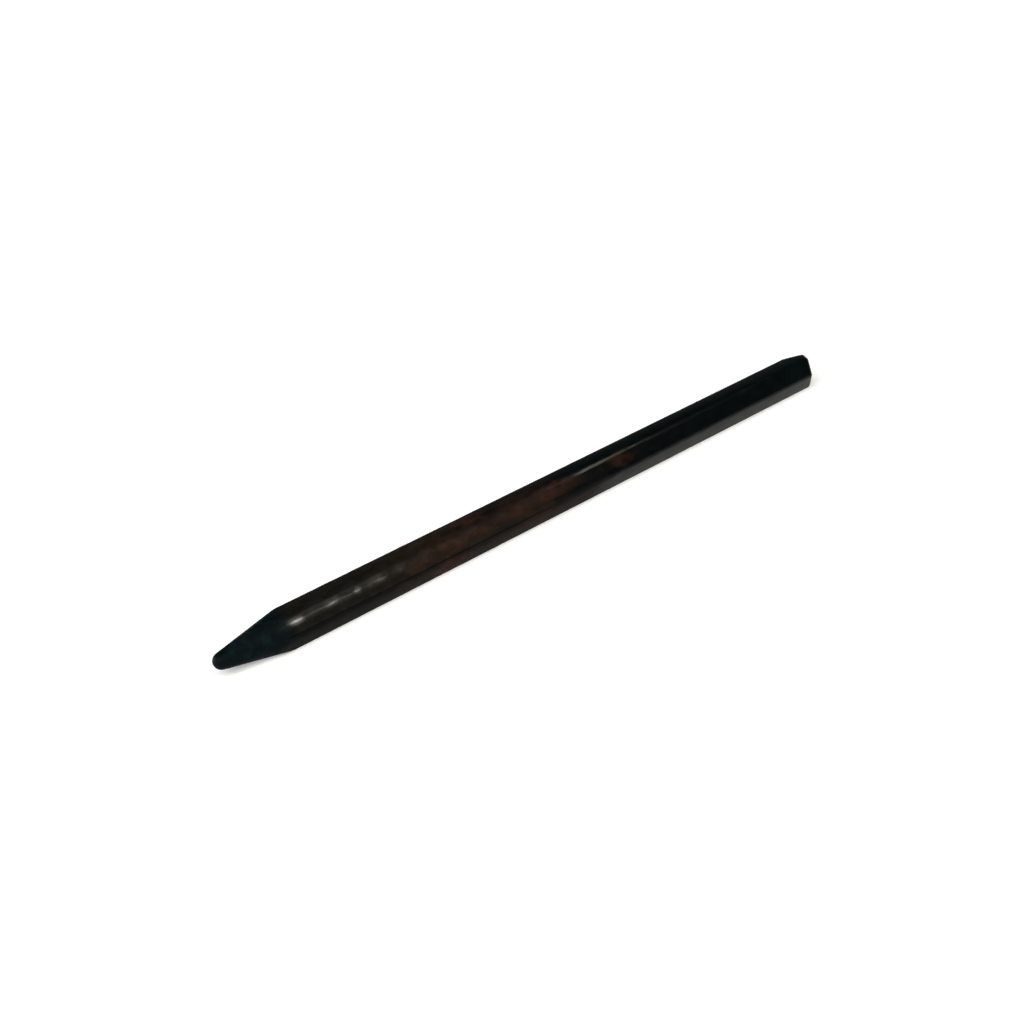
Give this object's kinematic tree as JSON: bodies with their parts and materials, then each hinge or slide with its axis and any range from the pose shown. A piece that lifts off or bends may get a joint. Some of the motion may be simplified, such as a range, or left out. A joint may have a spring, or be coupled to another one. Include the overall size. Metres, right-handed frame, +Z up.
{
  "type": "carpenter pencil",
  "caption": "Wood-cased hexagonal carpenter pencil: near-black lacquer, cone-sharpened end with a blunt round lead nose, slanted and dipped butt.",
  "frame": {"origin": "on the surface the pencil lies on, under the middle of its length and width", "axes": "+X along the pencil from the sharpened nose to the butt, +Y across it towards the longer side of the slanted butt, +Z up from the flat it lies on"},
  "size_m": [0.18, 0.0096, 0.0085],
  "materials": {
    "graphite": "satin",
    "stained_wood": "matte",
    "glue": "matte",
    "undercoat_paint": "matte",
    "black_lacquer": "gloss",
    "dip_lacquer": "gloss"
  },
  "bodies": {
    "root": {"lead": "graphite", "upper_slat": "stained_wood", "lower_slat": "stained_wood", "glue_film": "glue", "undercoat": "undercoat_paint", "lacquer": "black_lacquer", "end_dip": "dip_lacquer"}
  },
  "joints": []
}
